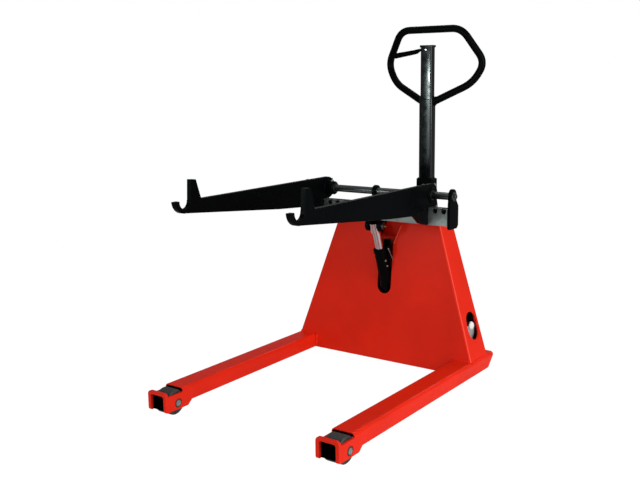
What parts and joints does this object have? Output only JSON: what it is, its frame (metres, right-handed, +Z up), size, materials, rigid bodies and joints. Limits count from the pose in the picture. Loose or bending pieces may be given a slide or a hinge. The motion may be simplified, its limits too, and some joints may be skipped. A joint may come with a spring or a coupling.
{
  "type": "reel stacker",
  "caption": "Hand-pumped reel stacker: floor legs with load rollers, tapered housing and a ram-raised frame whose hooked arms slide along a notched bar, with a steering tiller.",
  "frame": {"origin": "on the floor, under the middle of the truck's length and width", "axes": "+X across the truck to its right seen from the arms' end, +Y from the hooks towards the tiller, +Z up"},
  "size_m": [0.74, 1.243, 1.2385],
  "materials": {
    "red_paint": "red-orange powder coat with a fine orange peel",
    "black_paint": "near-black satin powder coat",
    "bright_steel": "turned bright steel",
    "zinc_plate": "zinc plated, light grey",
    "hard_chrome": "ground and chromed",
    "spring_steel": "dark oiled spring steel",
    "bronze": "turned bearing bronze",
    "roller_plastic": "black polyamide, matt",
    "tyre_rubber": "black solid rubber",
    "hub_aluminium": "cast and turned",
    "cast_body": "black painted casting",
    "hose_rubber": "matt black hose cover"
  },
  "bodies": {
    "chassis": {"housing_shell": "red_paint", "rear_plate": "red_paint", "pivot_beam": "red_paint", "bottom_plate": "red_paint", "leg_left": "red_paint", "leg_right": "red_paint", "pivot_lugs": "red_paint", "pivot_shaft": "bright_steel", "ram_foot_shaft": "bright_steel", "foot_shaft_supports": "zinc_plate", "roller_axles": "zinc_plate", "axle_circlips": "spring_steel", "steering_bracket": "red_paint", "head_bushings": "bronze", "thrust_bearing": "bright_steel", "hydraulic_hose": "hose_rubber"},
    "lift_frame": {"frame_beam": "black_paint", "notched_bar": "zinc_plate", "end_bracket_left": "black_paint", "end_bracket_right": "black_paint", "centre_lug": "black_paint", "arm_shaft": "bright_steel", "shaft_end_washers": "zinc_plate", "pivot_ears": "black_paint", "ram_lugs": "black_paint", "ram_pin": "bright_steel"},
    "left_bush": {"arm_bush_left": "bronze"},
    "left_arm": {"arm_left": "black_paint", "arm_hub_left": "black_paint"},
    "right_bush": {"arm_bush_right": "bronze"},
    "right_arm": {"arm_right": "black_paint", "arm_hub_right": "black_paint"},
    "ram": {"ram_barrel": "black_paint", "ram_gland": "black_paint", "port_block": "black_paint", "ram_foot_eye": "black_paint"},
    "ram_piston": {"piston_rod": "hard_chrome", "rod_eye": "black_paint"},
    "left_roller": {"roller_left": "roller_plastic", "roller_bearings_left": "bright_steel"},
    "right_roller": {"roller_right": "roller_plastic", "roller_bearings_right": "bright_steel"},
    "steering_unit": {"pump_body": "cast_body", "steering_stem": "bright_steel", "wheel_carrier": "cast_body", "wheel_axle": "bright_steel", "tiller_pin": "bright_steel", "pump_spring": "spring_steel"},
    "left_wheel": {"wheel_tyre_left": "tyre_rubber", "wheel_hub_left": "hub_aluminium"},
    "right_wheel": {"wheel_tyre_right": "tyre_rubber", "wheel_hub_right": "hub_aluminium"},
    "plunger": {"pump_plunger": "hard_chrome"},
    "tiller": {"tiller_yoke": "black_paint", "tiller_tube": "black_paint", "tiller_upper_tube": "black_paint", "tiller_loop": "black_paint", "pumping_roller": "bright_steel", "lever_pin": "bright_steel"},
    "lever": {"release_lever": "black_paint"}
  },
  "joints": [
    {"name": "lift_tilt", "type": "hinge", "parent": "chassis", "child": "lift_frame", "pos_m": [0, 0.2755, 0.55], "axis": [1, 0, 0], "range_deg": [-8, 30]},
    {"name": "left_arm_slide", "type": "slide", "parent": "lift_frame", "child": "left_bush", "axis": [-1, 0, 0], "range_m": [-0.165, 0.066]},
    {"name": "left_arm_lift", "type": "hinge", "parent": "left_bush", "child": "left_arm", "pos_m": [-0.2145, 0.1585, 0.66], "axis": [-1, 0, 0], "range_deg": [0, 45]},
    {"name": "right_arm_slide", "type": "slide", "parent": "lift_frame", "child": "right_bush", "axis": [1, 0, 0], "range_m": [-0.165, 0.066]},
    {"name": "right_arm_lift", "type": "hinge", "parent": "right_bush", "child": "right_arm", "pos_m": [0.2145, 0.1585, 0.66], "axis": [-1, 0, 0], "range_deg": [0, 45]},
    {"name": "ram_swing", "type": "hinge", "parent": "chassis", "child": "ram", "pos_m": [0, 0.2685, 0.193], "axis": [1, 0, 0], "range_deg": [-0.1, 0.4]},
    {"name": "ram_stroke", "type": "slide", "parent": "ram", "child": "ram_piston", "axis": [0, -0.3187, 0.9479], "range_m": [-0.0625, 0.017]},
    {"name": "left_roller_spin", "type": "hinge", "parent": "chassis", "child": "left_roller", "pos_m": [-0.33, -0.5615, 0.041], "axis": [1, 0, 0], "continuous": true},
    {"name": "right_roller_spin", "type": "hinge", "parent": "chassis", "child": "right_roller", "pos_m": [0.33, -0.5615, 0.041], "axis": [1, 0, 0], "continuous": true},
    {"name": "steering", "type": "hinge", "parent": "chassis", "child": "steering_unit", "pos_m": [0, 0.5215, 0.32], "axis": [0, 0, 1], "range_deg": [-90, 90]},
    {"name": "left_wheel_spin", "type": "hinge", "parent": "steering_unit", "child": "left_wheel", "pos_m": [-0.047, 0.5215, 0.1], "axis": [1, 0, 0], "continuous": true},
    {"name": "right_wheel_spin", "type": "hinge", "parent": "steering_unit", "child": "right_wheel", "pos_m": [0.047, 0.5215, 0.1], "axis": [1, 0, 0], "continuous": true},
    {"name": "tiller_tilt", "type": "hinge", "parent": "steering_unit", "child": "tiller", "pos_m": [0, 0.5215, 0.545], "axis": [-1, 0, 0], "range_deg": [0, 75], "stiffness_Nm_per_rad": 30, "springref_deg": -14.32},
    {"name": "plunger_stroke", "type": "slide", "parent": "steering_unit", "child": "plunger", "axis": [0, 0, 1], "range_m": [-0.0325, 0.001], "deforming": ["pump_spring"]},
    {"name": "lever_swing", "type": "hinge", "parent": "tiller", "child": "lever", "pos_m": [0, 0.5215, 1.15], "axis": [0, 1, 0], "range_deg": [-15, 15], "stiffness_Nm_per_rad": 5}
  ],
  "couplings": [
    {"joint": "ram_swing", "follows": "lift_tilt", "ratio": 0.01},
    {"joint": "ram_stroke", "follows": "lift_tilt", "m_per_rad": -0.118},
    {"joint": "plunger_stroke", "follows": "tiller_tilt", "m_per_rad": -0.02418}
  ]
}
